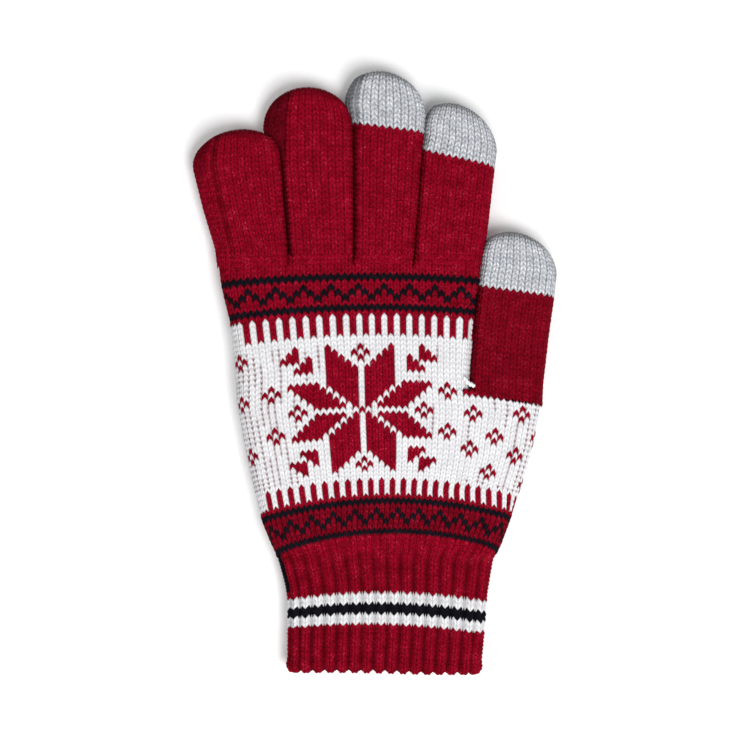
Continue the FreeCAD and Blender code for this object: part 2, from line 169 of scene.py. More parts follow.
class Section:
    """How a flattened tube's section is laid out: its edges, its half thickness and how far
    each side takes to curve over from the flat face. wall is how far the left side is a plane
    slope and not a curve."""

    def __init__(self, left, right, half, turn_left, turn_right, wall=0.0):
        self.left, self.right, self.half = left, right, half
        self.turn_left, self.turn_right = turn_left, turn_right
        self.wall = wall
        self.arc_left = np.pi / 2 * np.sqrt((turn_left**2 + half**2) / 2)
        self.arc_right = np.pi / 2 * np.sqrt((turn_right**2 + half**2) / 2)
        self.flat = right - left - turn_left - turn_right
        self.length = self.arc_left + self.flat + self.arc_right

    def at(self, along):
        """Plan place and share of the full height at a distance along the face from its
        left edge."""
        back = self.length - along
        left_angle = np.clip(along / self.arc_left, 0, 1) * np.pi / 2
        right_angle = np.clip(back / self.arc_right, 0, 1) * np.pi / 2
        flat = np.clip(along - self.arc_left, 0, self.flat)
        slope = left_angle / (np.pi / 2)
        left_turn = (1 - self.wall) * (1 - np.cos(left_angle)) + self.wall * slope
        left_share = (1 - self.wall) * np.sin(left_angle) + self.wall * slope
        x = self.left + self.turn_left * left_turn + flat
        x = x + self.turn_right * np.cos(right_angle)
        return x, left_share * np.sin(right_angle)

    def unrolled(self, x):
        """Distance along the face of a place on its flat part."""
        return self.arc_left + x - self.left - self.turn_left


def make_grid(columns, first_row, last_row):
    """Columns and rows of a ring of stitches, and how far each mesh line drops, as the two
    legs of a stitch do either side of its middle."""
    i = np.arange(columns * ACROSS)
    j = np.arange((last_row - first_row) * UP + 1)
    c = i[:, None] / ACROSS + np.zeros(len(j))
    lean = -abs(2 * (c % 1) - 1) * SPLAY
    r = first_row + j[None, :] / UP + np.zeros(len(i))[:, None]
    return c, r, lean


def bumps(c, r):
    """Relief of the yarn: each leg of a stitch is a plump strand, thin where it dips under."""
    arm = abs(2 * (c % 1) - 1)
    over = 0.4 + 0.6 * np.sqrt(np.clip(1 - (2 * (r % 1) - 1) ** 2, 0, 1))
    thin = 0.5 - 0.4 * arm
    return over * (thin + (1 - thin) * np.sqrt(np.clip(1 - (2 * arm - 1) ** 2, 0, 1)))


def push_out(points, amount):
    """Move a ring grid of points out along its own normals."""
    along_ring = np.roll(points, -1, axis=0) - np.roll(points, 1, axis=0)
    up = np.gradient(points, axis=1)
    normal = np.cross(along_ring, up)
    size = np.linalg.norm(normal, axis=2, keepdims=True)
    size[size < 1e-9] = 1
    return points + normal / size * amount[..., None]


def fuzz(yarn, colour):
    """How much of one colour of yarn is round each mesh point, and reaches over its neighbours
    as loose fibres."""
    here = np.pad((yarn == colour).astype(float), ((0, 0), (1, 1)), "edge")
    here = (here[:, :-1] + here[:, 1:]) / 2
    here = (here + np.roll(here, 1, axis=0)) / 2
    here = (np.roll(here, 1, axis=0) + 2 * here + np.roll(here, -1, axis=0)) / 4
    wide = np.pad(here, ((0, 0), (1, 1)), "edge")
    return (wide[:, :-2] + 2 * wide[:, 1:-1] + wide[:, 2:]) / 4


def make_piece(name, points, yarn, height, keep=None, floats=(0.0, 0.0), closed=False):
    """A mesh from a ring grid of points, with a material index for each quad's yarn and the
    height of its relief, 0 to 1, lowered where more shade is painted; low heights paint the yarn
    darker as shade.
    floats is where the red yarn behind the white shows, and the black behind the red, which over
    the lower band also carries painted shade. closed joins the front to the back along the last
    line."""
    across, up = points.shape[:2]
    index = np.arange(across * up).reshape(across, up)
    if closed:
        # the front's last line is the back's, the other way round
        mirror = (across - np.arange(across)) % across
        index[:, -1] = np.minimum(index[:, -1], index[mirror, -1])
    a = index
    b = np.roll(index, -1, axis=0)
    quads = np.stack([a[:, :-1], b[:, :-1], b[:, 1:], a[:, 1:]], axis=2).reshape(-1, 4)
    colour = yarn.reshape(-1)
    if keep is not None:
        chosen = keep.reshape(-1)
        quads, colour = quads[chosen], colour[chosen]
    used, packed = np.unique(quads, return_inverse=True)
    quads = packed.reshape(-1, 4)
    faces = [tuple(dict.fromkeys(q)) for q in quads.tolist()]
    sound = [len(f) > 2 for f in faces]
    colour = colour[np.array(sound)]
    faces = [f for f, good in zip(faces, sound) if good]
    mesh = bpy.data.meshes.new(name)
    mesh.from_pydata((points.reshape(-1, 3)[used] * MM).tolist(), [], faces)
    for material in YARNS:
        mesh.materials.append(material)
    mesh.polygons.foreach_set("material_index", colour.astype(np.int32))
    mesh.polygons.foreach_set("use_smooth", np.ones(len(faces), bool))
    layers = [
        # painted shade: 1 less the height, how far each point's yarn is painted darker as in shade
        ("painted_shade", 1 - np.clip(height, 0, 1)),
        ("red_shows", np.maximum(floats[0], 0.7 * fuzz(yarn, RED))),
        # the black layer also carries the painted shade over the lower band
        ("black_shows_and_shade", np.maximum(floats[1], np.clip(1.7 * fuzz(yarn, BLACK), 0, 1))),
    ]
    for key, values in layers:
        layer = mesh.attributes.new(key, "FLOAT", "POINT")
        layer.data.foreach_set("value", values.reshape(-1)[used].astype(np.float32))
    mesh.update()
    mesh.validate()
    piece = bpy.data.objects.new(name, mesh)
    bpy.context.scene.collection.objects.link(piece)
    return piece


def stitch_index(columns, first_row, last_row):
    """The whole column and row that each quad of a ring grid belongs to."""
    column = np.arange(columns * ACROSS) // ACROSS
    row = first_row + np.arange((last_row - first_row) * UP) // UP
    return np.meshgrid(column, row, indexing="ij")


# ------------------------------------------------------------------ materials


def node(tree, kind, **sockets):
    made = tree.nodes.new(kind)
    for key, value in sockets.items():
        made.inputs[key].default_value = value
    return made


def yarn_material(name, dark, light, tips, roughness, painted_shade_strength, over=None):
    """Brushed yarn: mottled between two tones with paler fibre tips, painted darker as shade in the
    valleys between its strands, with fine fibres in its bump and roughness. over is the mesh
    attribute and the colour of another yarn that shows on it; on the red it also carries painted
    shade over the lower band."""
    material = bpy.data.materials.new(name)
    material.use_nodes = True
    tree = material.node_tree
    shader = tree.nodes["Principled BSDF"]
    place = tree.nodes.new("ShaderNodeTexCoord")

    blotch = node(tree, "ShaderNodeTexNoise", Scale=260.0, Detail=3.0, Roughness=0.6)
    tree.links.new(place.outputs["Object"], blotch.inputs["Vector"])
    fibre = node(tree, "ShaderNodeTexNoise", Scale=2000.0, Detail=4.0, Roughness=0.7)
    tree.links.new(place.outputs["Object"], fibre.inputs["Vector"])

    both = node(tree, "ShaderNodeMath")
    both.operation = "MULTIPLY_ADD"
    both.inputs[1].default_value = 0.75
    tree.links.new(fibre.outputs["Fac"], both.inputs[0])
    halved = node(tree, "ShaderNodeMath")
    halved.operation = "MULTIPLY"
    halved.inputs[1].default_value = 0.25
    tree.links.new(blotch.outputs["Fac"], halved.inputs[0])
    tree.links.new(halved.outputs[0], both.inputs[2])

    tones = tree.nodes.new("ShaderNodeValToRGB")
    tones.color_ramp.elements[0].position = 0.38
    tones.color_ramp.elements[0].color = (*dark, 1)
    tones.color_ramp.elements[1].position = 0.60
    tones.color_ramp.elements[1].color = (*light, 1)
    tones.color_ramp.elements.new(0.70).color = (*tips, 1)
    tree.links.new(both.outputs[0], tones.inputs["Fac"])
    colour = tones.outputs["Color"]
    if over:
        shows = tree.nodes.new("ShaderNodeAttribute")
        shows.attribute_name = over[0]
        mix = tree.nodes.new("ShaderNodeMix")
        mix.data_type = "RGBA"
        mix.inputs["B"].default_value = (*over[1], 1)
        tree.links.new(shows.outputs["Fac"], mix.inputs["Factor"])
        tree.links.new(colour, mix.inputs["A"])
        colour = mix.outputs["Result"]
    # painted shade: the low places of the relief are mixed towards a dark copy of the yarn's colour
    painted_shade = tree.nodes.new("ShaderNodeAttribute")
    painted_shade.attribute_name = "painted_shade"
    shade = node(tree, "ShaderNodeMapRange")
    shade.inputs["To Min"].default_value = 0.0
    shade.inputs["To Max"].default_value = painted_shade_strength
    tree.links.new(painted_shade.outputs["Fac"], shade.inputs["Value"])
    deep = tree.nodes.new("ShaderNodeMix")
    deep.data_type = "RGBA"
    deep.inputs["B"].default_value = (*[0.12 * part for part in dark], 1)
    tree.links.new(shade.outputs["Result"], deep.inputs["Factor"])
    tree.links.new(colour, deep.inputs["A"])
    tree.links.new(deep.outputs["Result"], shader.inputs["Base Color"])

    bump = node(tree, "ShaderNodeBump", Strength=0.35, Distance=0.00012)
    tree.links.new(fibre.outputs["Fac"], bump.inputs["Height"])
    tree.links.new(bump.outputs["Normal"], shader.inputs["Normal"])
    rough = node(tree, "ShaderNodeMapRange")
    rough.inputs["To Min"].default_value = roughness - 0.08
    rough.inputs["To Max"].default_value = min(1.0, roughness + 0.08)
    tree.links.new(fibre.outputs["Fac"], rough.inputs["Value"])
    tree.links.new(rough.outputs["Result"], shader.inputs["Roughness"])
    shader.inputs["Specular IOR Level"].default_value = 0.05
    return material


YARNS = [
    yarn_material(
        "red_yarn", dark=(0.12, 0.0002, 0.003), light=(0.42, 0.002, 0.024), tips=(0.66, 0.12, 0.18),
        roughness=0.9, painted_shade_strength=0.7, over=("black_shows_and_shade", (0.010, 0.001, 0.003)),
    ),
    yarn_material(
        "white_yarn", dark=(0.70, 0.69, 0.72), light=(0.94, 0.94, 0.95), tips=(0.98, 0.98, 0.98),
        roughness=0.85, painted_shade_strength=0.5, over=("red_shows", (0.17, 0.002, 0.013)),
    ),
    yarn_material(
        "black_yarn", dark=(0.002, 0.002, 0.004), light=(0.010, 0.009, 0.015),
        tips=(0.04, 0.04, 0.05), roughness=0.85, painted_shade_strength=0.6,
    ),
    yarn_material(
        "grey_yarn", dark=(0.34, 0.36, 0.40), light=(0.88, 0.90, 0.94), tips=(0.96, 0.96, 0.98),
        roughness=0.75, painted_shade_strength=0.8,
    ),
]

# ------------------------------------------------------------------ the hand

LEFT_COLUMNS = 21
RIGHT_COLUMNS = 31
RIGHT_ABOVE = 20  # columns right of the middle above the thumb's parting
CROTCH_ROW = 5  # the row where the thumb parts from the hand
FIRST_ROW = -26
LAST_ROW = 31

# The hand's and the cuff's outline, (y, x) pairs. The right side has one line for the length with
# the thumb's root in it and one for the length above its parting. COLUMN_ZERO is the line of the
# star's middle column.
HAND_LEFT = [
    (KNUCKLE_Y, low("knuckle_panel", 0) - 0.8),
    (BORDER_Y - 1.5, -53.3),
    (STAR_Y - 2, -50.4),
    (3, -48.7),
    (-9, -47.9),
    (-23, -45.5),
    (-35, -43.0),
    (-51, -39.2),
    (-57, -36.8),
    (-62.3, -34.4),
    (-67.8, -32.9),
    (-73.4, -31.4),
    (-79, -30.6),
    (HEM_Y, -30.7),
]
HAND_RIGHT_LOW = [
    (0, high("star_panel", 0)),
    (-9, 57.6),
    (-23, 55.3),
    (-34, 52.4),
    (-49, 47.5),
    (-59, 43.9),
    (-64, 41.4),
    (-76, 39.4),
    (-90, 38.4),
    (HEM_Y, 36.8),
]
HAND_RIGHT_HIGH = [
    (-8, 32.6), (3, 33.0), (STAR_Y - 2, 34.5), (32, 36.0), (BORDER_Y, 36.3), (KNUCKLE_Y, 37.3),
]
COLUMN_ZERO = [
    (32, -5.7), (18, -5.35), (0, -4.65), (-10, -4.45), (-27, -3.75), (-41, -3.15),
    (-52, -1.9), (-62, -1.2), (-105, -1.0),
]
# half the thickness, and the width of a column left and right of the star's middle, up the hand
HAND_HALVES = [
    (KNUCKLE_Y, FINGER_HALF + 0.15),
    (STAR_Y + 4, HAND_HALF - 0.3),
    (-10, HAND_HALF),
    (BAND_Y, HAND_HALF - 0.2),
    (WRIST_Y, CUFF_HALF),
    (HEM_Y, CUFF_HALF),
]
PITCH_LEFT = [
    (30, 2.42), (19, 2.34), (0, 2.24), (-12, 2.26), (-24, 2.16), (-40, 2.02), (-62, 1.93),
]
PITCH_RIGHT = [
    (30, 2.22), (19, 2.17), (0, 2.11), (-12, 2.15), (-28, 2.02), (-40, 1.86), (-62, 1.78),
]
EVEN_LEFT = -18  # the columns left of this one share what is left of the face evenly

# the height of some rows at the middle of the hand, how far they droop at the sides, and the
# column that each droop is centred on
ROW_PLACES = [
    (31, 43.0),
    (26.15, 34.2),
    (20.15, 23.5),
    (19, 21.7),
    (15, 14.7),
    (13, 11.4),
    (1, -10.5),
    (-11, -31.1),
    (-14, -35.4),
    (-17, -40.8),
    (-18.85, -43.6),
    (-24.85, -54.4),
    (-37, -75.0),
    (-43, -86.0),
    (-53, HEM_Y + 3.7),
]
ROW_DROOP = [
    (31, 2.0), (26, 3.3), (14, 4.8), (0, 4.2), (-14, 6.0), (-19, 6.8), (-26, 7.0), (-37, 3.0),
    (-43, 2.5), (-53, 0.6),
]
DROOP_CENTRE = [(26, 3), (14, 4), (-14, 5), (-26, 6.2), (-37, 3.5), (-43, 0), (-53, -12)]

# the finger partings and the thumb's, as (x, y)
CROTCHES = [
    ((high("pinky_base", 0) + low("ring_base", 0)) / 2 - 0.3, 39.6),
    ((high("ring_base", 0) + low("middle_base", 0)) / 2 + 0.1, 41.7),
    ((high("middle_base", 0) + low("index_base", 0)) / 2 + 0.2, 41.4),
]
THUMB_CROTCH = (low("thumb_base", 0) - 0.6, -3.4)


def hand_height(c, r):
    """Y of a place in the fabric of the hand or the cuff."""
    side = np.clip((c - curve(DROOP_CENTRE, r)) / 24, -1.1, 1.1)
    return curve(ROW_PLACES, r) - curve(ROW_DROOP, r) * side**2


def crease(x, y, crotch, reach, rise):
    """Share of the height that is left near a parting, which deepens over rise up to it."""
    width = reach * smooth(crotch[1] - rise, crotch[1] + 0.5, y)
    near = np.clip(abs(x - crotch[0]) / np.maximum(width, 1e-3), 0, 1)
    return np.sqrt(np.clip(1 - (1 - near) ** 2, 0, 1))


def hand_face(c, y, right_edge, right_count, evened=0.0, inset=0.0):
    """Plan place and height share for columns of the hand at height y. evened is how far they
    are spread evenly over the face, and inset is how far both edges are drawn in."""
    half = curve(HAND_HALVES, y)
    left = curve(HAND_LEFT, y) + inset
    right = curve(right_edge, y) - inset
    turn_left = curve([(KNUCKLE_Y, 5.9), (BORDER_Y, 5.5), (0, 5.5), (BAND_Y, 5.0), (HEM_Y, 4.5)], y)
    turn_right = curve([(KNUCKLE_Y, 3.6), (0, 4.2), (BAND_Y, 5.5), (HEM_Y, 4.5)], y)
    # towards the knuckles the left side flattens and folds, as the pinky's does
    folded = smooth(BORDER_Y - 1, KNUCKLE_Y - 2.5, y)
    section = Section(left, right, half, turn_left, turn_right, wall=0.6 * folded)
    pitch_left, pitch_right = curve(PITCH_LEFT, y), curve(PITCH_RIGHT, y)
    zero = section.unrolled(curve(COLUMN_ZERO, y) - pitch_left / 2)
    even = right_count - 4
    even_left = zero + EVEN_LEFT * pitch_left
    even_right = zero + even * pitch_right
    outer_left = even_left * (c + LEFT_COLUMNS) / (EVEN_LEFT + LEFT_COLUMNS)
    beyond = (right_count - c) / (right_count - even)
    outer_right = section.length - (section.length - even_right) * beyond
    inner = zero + c * np.where(c < 0, pitch_left, pitch_right)
    along = np.where(c < EVEN_LEFT, outer_left, np.where(c > even, outer_right, inner))
    spread = section.length * (c + LEFT_COLUMNS) / (LEFT_COLUMNS + right_count)
    along = along + (spread - along) * evened
    x, share = section.at(np.clip(along, 0, section.length))
    fold = 0.9 * folded * np.exp(-(((along - section.arc_left + 0.4) / 0.8) ** 2))
    return x, share - fold / half, half


def ring_columns(c, right_count):
    """The chart's column for a place round a ring that starts at the left edge, runs over the
    front to the right edge and comes back underneath. The second value is true underneath."""
    front = LEFT_COLUMNS + right_count
    under = c >= front
    return np.where(under, 2 * front - c, c) - LEFT_COLUMNS, under


def hand_surface(right_edge, right_count, first_row, last_row):
    """Base points and relief of a length of the hand or cuff."""
    ring = 2 * (LEFT_COLUMNS + right_count)
    c, r, lean = make_grid(ring, first_row, last_row)
    column, under = ring_columns(c, right_count)
    y = hand_height(column, r + lean)
    evened = 0.85 * smooth(-17, FIRST_ROW + 1, r)
    x, share, half = hand_face(column, y, right_edge, right_count, evened, inset=0.1)
    for crotch in CROTCHES:
        share = share * crease(x, y, crotch, 3.0, 5.0)
    if right_edge is HAND_RIGHT_LOW:
        share = share * crease(x, y, THUMB_CROTCH, 2.0, 3.0)
    body = half - RELIEF
    z = half + np.where(under, -1, 1) * body * share
    return c, r, column, under, np.stack([x, y, z], axis=2)


def scatter(a, b):
    """A fixed unpatterned number from 0 to 1 for each pair of whole numbers."""
    value = np.sin(a * 12.9898 + b * 78.233) * 43758.5453
    return value - np.floor(value)


def side_fields(column, r):
    """Where the red yarn carried behind the white ground glints between its columns, as
    dotted lines up the hand, mostly in the side fields."""
    edge = np.round(column)
    between = np.clip(1.45 - 4.5 * abs(column - edge), 0, 1)
    dots = np.clip(1.5 * np.sin(np.pi * (r + 0.5 * scatter(edge, 8))) ** 2 - 0.15, 0, 1)
    run = scatter(edge, np.floor((r + 6 * scatter(edge, 3)) / 6))
    side = np.where((column < -11.5) | (column > 25.5), 0.62, np.where(column > 11.5, 0.2, 0.1))
    field = (r > -13.5) & (r < 13.5)
    strength = 0.6 + 0.4 * scatter(edge, np.floor(r))
    return np.where(field & (run < side), between * dots * strength, 0)


def lower_band_floats_and_shade(column, r):
    """How much the lower zigzag band's red is darkened towards black: painted shade over the whole
    band, more between its columns, where the black yarn carried behind shows through.
    """
    band_rows = smooth(-25.2, -24.2, r) * smooth(-18.6, -19.6, r)
    between = np.clip(1.3 - 4.5 * abs(column - np.round(column)), 0, 1)
    blotch = scatter(np.floor(column), np.floor(r))
    return band_rows * (0.16 + 0.16 * blotch + 0.3 * between)


def puckers(x, y):
    """Where the fabric is drawn up into a small lump beside the end of each finger parting."""
    lump = np.zeros(x.shape)
    for place, end in CROTCHES:
        lump += np.exp(-(((x - place - 1.0) / 1.5) ** 2) - ((y - end + 2.2) / 1.1) ** 2)
    return lump


def thicker(c, r):
    """Slight unevenness of the yarn from stitch to stitch."""
    key = np.sin(np.floor(c) * 4.1 + np.floor(r) * 7.7) * 9.1
    return 1 + 0.16 * (key - np.floor(key) - 0.5)


def make_hand(name, right_edge, right_count, first_row, last_row, nodes):
    c, r, column, under, points = hand_surface(right_edge, right_count, first_row, last_row)
    lump = puckers(points[..., 0], points[..., 1])
    height = bumps(c, r) * thicker(c, r)
    points = push_out(points, RELIEF * height + 0.45 * lump)
    # painted highlight: the puckers' added height lessens their painted shade, so they show lighter
    height = height + 0.4 * lump
    ring = 2 * (LEFT_COLUMNS + right_count)
    quad_c, quad_r = stitch_index(ring, first_row, last_row)
    quad_column, quad_under = ring_columns(quad_c + 0.5, right_count)
    yarn = chart(np.floor(quad_column).astype(int), quad_r)
    # the black yarn is carried up the edge by the thumb
    band_row = quad_r - STAR_ROWS - BAR_ROWS
    carried = (quad_column > RIGHT_ABOVE - 1) & (band_row > 2) & (band_row < 6)
    yarn = np.where(carried, BLACK, yarn)
    keep = None
    if right_edge is HAND_RIGHT_LOW:
        # its last row stops at the parting, where the thumb's own rows start
        keep = ~((quad_column > RIGHT_ABOVE) & (quad_r == CROTCH_ROW - 1))
        # the thumb's yarn starts a few columns into the hand, beside the parting
        beside = (quad_column > RIGHT_ABOVE - 3) & (quad_r == CROTCH_ROW - 1)
        yarn = np.where(beside, RED, yarn)
    floats = side_fields(column, r), lower_band_floats_and_shade(column, r)
    piece = make_piece(name, points, yarn, height, keep=keep, floats=floats)
    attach(piece, "hand")
    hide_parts(*nodes)
    return piece


make_hand("star_knit", HAND_RIGHT_LOW, RIGHT_COLUMNS, FIRST_ROW + 1, CROTCH_ROW,
          ["star_panel", "lower_border_band"])
make_hand("knuckle_knit", HAND_RIGHT_HIGH, RIGHT_ABOVE, CROTCH_ROW, LAST_ROW,
          ["knuckle_panel", "upper_border_band"])

# ------------------------------------------------------------------ the cuff

RIB = 3  # columns in a rib
CUFF_RIGHT = 30
HEM_ROW = -53
INSIDE_ROWS = 22  # how far the fabric goes back up inside
WALL = 1.5  # between the outer and the inner face
RIB_DEPTH = 1.4
RIB_START = 1  # columns by which the first rib runs on round the left edge
CUFF_STRIPES = [(-39, WHITE), (-41, BLACK), (-43, WHITE)]  # the lower row of each, and its yarn


def rib_place(c):
    """Columns drawn together in ribs: two plain columns stand up and a purl one sinks."""
    whole, part = np.divmod((c + RIB_START) / RIB, 1)
    even = [0, 1 / 6, 1 / 3, 1 / 2, 2 / 3, 1]
    drawn = np.interp(part, even, [-0.03, 0.107, 0.4, 0.693, 0.83, 0.97])
    return RIB * (whole + drawn) - RIB_START


def rib_height(placed):
    """Height of a rib, 0 in its purl column and 1 along its crest."""
    part = (placed + RIB_START) / RIB
    return (0.5 + 0.5 * np.cos(2 * np.pi * (part - 0.4))) ** 0.75


def make_cuff():
    front = LEFT_COLUMNS + CUFF_RIGHT
    first, join = HEM_ROW, FIRST_ROW + 1
    last = join + 1
    c, r, lean = make_grid(2 * front, first - INSIDE_ROWS, last)
    placed = rib_place(c)
    under = placed >= front
    column = np.where(under, 2 * front - placed, placed) - LEFT_COLUMNS
    # below the hem the fabric turns over its edge and goes back up inside
    row = r + lean * smooth(first - 0.5, first + 2, r)
    turned = np.clip(first - row, 0, None)
    fold = 1 - np.cos(np.clip(turned / 1.5, 0, 1) * np.pi)
    outside_row = np.where(turned > 0, first + np.clip(turned - 1.5, 0, None), row)
    y = hand_height(column, outside_row)
    y = y - np.where(turned > 0, 0.6 * np.sin(np.clip(turned / 1.5, 0, 1) * np.pi), 0)
    rib = rib_height(placed)
    y = y - 0.45 * rib * smooth(first + 4, first, outside_row)
    inward = WALL * fold / 2
    ribbed = smooth(WRIST_Y + 7, WRIST_Y - 1, y)
    inset = 0.25 + (0.5 * RIB_DEPTH + 0.1) * ribbed
    evened = 0.85 + 0.15 * smooth(join, join - 3, r)
    x, share, half = hand_face(column, y, HAND_RIGHT_LOW, CUFF_RIGHT, evened, inset)
    # its top row is tucked in behind the hand's last one
    tucked = 0.7 * smooth(join, join + 0.6, r)
    body = half - RELIEF - RIB_DEPTH * 0.5 * ribbed - tucked
    # the inner face is drawn in towards the middle of the cuff
    middle = curve(COLUMN_ZERO, y) + 4
    x = x - np.clip((x - middle) / 30, -1, 1) * inward * 1.3
    z = half + np.where(under, -1, 1) * (body - inward) * share
    points = np.stack([x, y, z], axis=2)
    height = bumps(c, r) * thicker(c, r)
    roll = 0.45 * np.exp(-(((r - first - 1.2) / 1.1) ** 2))
    ribs = RIB_DEPTH * ribbed * (rib - 0.5) * (1 - fold / 2)
    points = push_out(points, RELIEF * height + ribs + roll)
    quad_c, quad_r = stitch_index(2 * front, first - INSIDE_ROWS, last)
    seen_row = np.where(quad_r < first, 2 * first - quad_r - 1, quad_r)
    yarn = np.full(quad_r.shape, RED)
    for stripe, colour in CUFF_STRIPES:
        yarn = np.where((seen_row == stripe) | (seen_row == stripe + 1), colour, yarn)
    # the black yarn of the band above is carried down the left edge for a few rows
    edge = (quad_c >= 2 * front - 2) | (quad_c < 1)
    carried = edge & (quad_r > -36) & (scatter(quad_c, quad_r) < 0.75)
    yarn = np.where(carried, BLACK, yarn)
    # painted shade: the purl valleys between the ribs are painted darker
    shade = height * (1 - 0.8 * ribbed * (1 - rib) ** 1.5)
    piece = make_piece("cuff_knit", points, yarn, shade)
    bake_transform(piece)
    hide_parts("cuff_upper_rib", "cuff_white_stripe_upper", "cuff_black_stripe",
                "cuff_white_stripe_lower", "cuff_lower_rib", "cuff_hem", "cuff_elastic_threads")


make_cuff()

# ------------------------------------------------------------------ the fingers

# left and right are (y, x) pairs up each side. dome is where the rounded end starts and how high
# it rises. tilt is how much the rows slope down to the right, and root_slope how much of that
# they have at the root. bevel is how wide the side wall on the left shows, wall the share of the
# columns on it, wall_shade how dark it is painted as shade, and groove how deep the fold is between
# it and the front, which is painted darker as shade too. turn is how wide the right side curves
# over. halves is half the thickness where it isn't
# FINGER_HALF, cap where the conductive yarn starts, and tone how much of the red's brightness is
# kept, less than 1 being painted shade.
FINGERS = {
    "pinky": {
        "columns": 16,
        "left": [(38, -55.0), (44, -55.7), (58, -60.0), (72, -63.5), (80, -64.0)],
        "right": [(38, -30.1), (44, -30.9), (60, -32.3), (76, -33.2)],
        "dome": (74.6, 11.0),
        "tilt": -0.13,
        "bevel": [(38, 5.6), (60, 7.0), (76, 7.6)],
        "wall": 0.29,
        "groove": [(38, 0.8), (50, 1.3), (86, 1.2)],
        "turn": 1.6,
    },
    "ring": {
        "columns": 14,
        "left": [
            (38, -29.7), (44, -30.2), (60, -31.6), (74, -32.9), (79, -34.2), (84, -38.6),
            (90, -39.9),
        ],
        "right": [(38, -8.0), (60, -8.0), (86, -8.1)],
        "dome": (86.0, 14.4),
        "tilt": 0.0,
        "bevel": [(38, 1.7), (74, 1.9), (79, 3.2), (84, 7.6), (90, 8.9)],
        "wall": 0.25,
        "wall_shade": 1.5,
        "groove": [(72, 0.0), (80, 1.2), (100, 1.0)],
        "turn": 1.6,
    },
    "middle": {
        "columns": 13,
        "left": [(38, -7.3), (60, -7.4), (86, -7.6), (90, -9.4), (96, -10.8)],
        "right": [(38, 13.4), (45, 13.5), (60, 14.8), (79, 16.2), (92, 17.6)],
        "dome": (92.2, 13.4),
        "tilt": 0.18,
        "bevel": [(38, 1.7), (84, 2.0), (92, 4.4)],
        "wall": 0.19,
        "wall_shade": 0.8,
        "groove": [(84, 0.0), (90, 0.9), (106, 0.5)],
        "turn": 1.6,
        "cap": 87.1,
    },
    "index": {
        "columns": 14,
        "left": [(38, 13.7), (45, 13.9), (60, 15.0), (71, 15.9), (84, 17.0)],
        "right": [(38, 37.0), (46, 38.4), (71, 41.3), (82, 42.6)],
        "dome": (81.6, 12.4),
        "tilt": 0.3,
        "bevel": [(38, 1.7), (78, 1.9), (88, 3.4)],
        "wall": 0.16,
        "groove": [(80, 0.0), (86, 0.4), (94, 0.3)],
        "turn": 3.0,
        "cap": 76.4,
    },
    "thumb": {
        "columns": 14,
        "painted_light": 0.6,
        "left": [(-12, 32.8), (-4, 33.1), (3, 33.4), (18, 34.6), (32, 36.2), (40, 36.6)],
        "right": [(-12, 58.0), (-4, 58.3), (14, 60.4), (28, 62.4), (38, 63.4)],
        "dome": (37.2, 12.2),
        "tilt": 0.19,
        "root_slope": 1.0,
        "bevel": [(-12, 2.0), (34, 2.0), (42, 3.4)],
        "wall": 0.16,
        "groove": [(34, 0.0), (40, 0.4), (50, 0.3)],
        "turn": 3.0,
        "halves": [(-12, 6.7), (-4, 6.5), (10, FINGER_HALF)],
        "cap": 30.4,
    },
}
RIM = 4.5  # how far the rounded edge of a tip reaches in
PUFF = 0.35  # how far the front swells along its middle
THUMB_ROOT = -8.0


def rim_arc():
    """Length of the fabric that curves over the rounded edge of a tip."""
    return np.pi / 2 * math.sqrt((RIM**2 + FINGER_HALF**2) / 2)


def finger_rows(spec, root):
    """The rows up a finger: where the straight part ends, and how many rows there are."""
    base, rise = spec["dome"]
    straight = int(round((base - root) / ROW))
    return straight, straight + int(round((rise - RIM + rim_arc()) / ROW))


